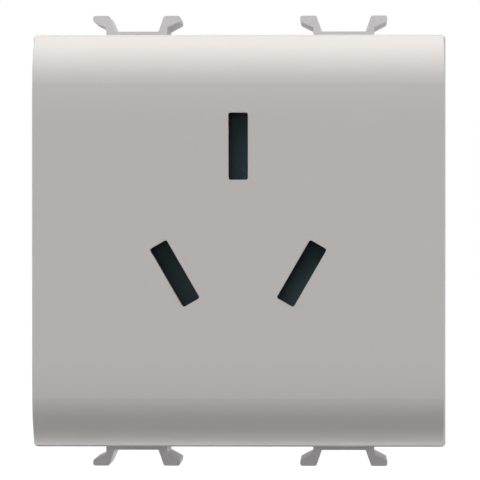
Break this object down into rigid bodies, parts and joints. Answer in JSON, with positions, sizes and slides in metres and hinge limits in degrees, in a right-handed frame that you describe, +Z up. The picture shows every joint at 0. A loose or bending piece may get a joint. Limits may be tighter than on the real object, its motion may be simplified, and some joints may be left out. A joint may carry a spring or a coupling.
{
  "type": "wall socket outlet module",
  "caption": "Square snap-in wall socket for flat-blade earthed plugs, with a curved satin grey face, a safety shutter and rear screw terminals.",
  "frame": {"origin": "middle of the seat, the rear rim of the front cover, where the module rests on its frame", "axes": "+X right and +Z up as seen from the front; +Y into the wall, so the face looks along -Y"},
  "size_m": [0.045, 0.0347, 0.0496],
  "materials": {
    "cover": "satin titanium grey",
    "housing": "moulded light grey",
    "black_plastic": "moulded black",
    "deck_plastic": "moulded off-white",
    "bronze": "rolled spring bronze",
    "brass": "machined brass",
    "zinc_steel": "zinc plated",
    "spring_steel": "drawn wire"
  },
  "bodies": {
    "body": {"front_cover": "cover", "rear_housing": "housing", "contact_deck": "deck_plastic", "shutter_spring": "spring_steel", "line_contact": "bronze", "line_terminal": "brass", "neutral_contact": "bronze", "neutral_terminal": "brass", "earth_contact": "bronze", "earth_terminal": "brass"},
    "shutter": {"safety_shutter": "black_plastic"},
    "line_clamp": {"line_clamp_plate": "zinc_steel"},
    "line_screw": {"line_screw": "zinc_steel"},
    "neutral_clamp": {"neutral_clamp_plate": "zinc_steel"},
    "neutral_screw": {"neutral_screw": "zinc_steel"},
    "earth_clamp": {"earth_clamp_plate": "zinc_steel"},
    "earth_screw": {"earth_screw": "zinc_steel"}
  },
  "joints": [
    {"name": "shutter_slide", "type": "slide", "parent": "body", "child": "shutter", "axis": [1, 0, 0], "range_m": [0, 0.003], "stiffness_N_per_m": 150, "springref_m": -0.006, "deforming": ["shutter_spring"]},
    {"name": "line_clamp_slide", "type": "slide", "parent": "body", "child": "line_clamp", "axis": [0, -1, 0], "range_m": [0, 0.0026]},
    {"name": "line_screw_turn", "type": "hinge", "parent": "line_clamp", "child": "line_screw", "pos_m": [0.01395, 0.024, -0.01452], "axis": [0, -1, 0], "range_deg": [0, 1560]},
    {"name": "neutral_clamp_slide", "type": "slide", "parent": "body", "child": "neutral_clamp", "axis": [0, -1, 0], "range_m": [0, 0.0026]},
    {"name": "neutral_screw_turn", "type": "hinge", "parent": "neutral_clamp", "child": "neutral_screw", "pos_m": [-0.01395, 0.024, -0.01452], "axis": [0, -1, 0], "range_deg": [0, 1560]},
    {"name": "earth_clamp_slide", "type": "slide", "parent": "body", "child": "earth_clamp", "axis": [0, -1, 0], "range_m": [0, 0.0026]},
    {"name": "earth_screw_turn", "type": "hinge", "parent": "earth_clamp", "child": "earth_screw", "pos_m": [0.0084, 0.024, 0.01452], "axis": [0, -1, 0], "range_deg": [0, 1560]}
  ],
  "couplings": [
    {"joint": "line_screw_turn", "follows": "line_clamp_slide", "rad_per_m": 10472},
    {"joint": "neutral_screw_turn", "follows": "neutral_clamp_slide", "rad_per_m": 10472},
    {"joint": "earth_screw_turn", "follows": "earth_clamp_slide", "rad_per_m": 10472}
  ]
}
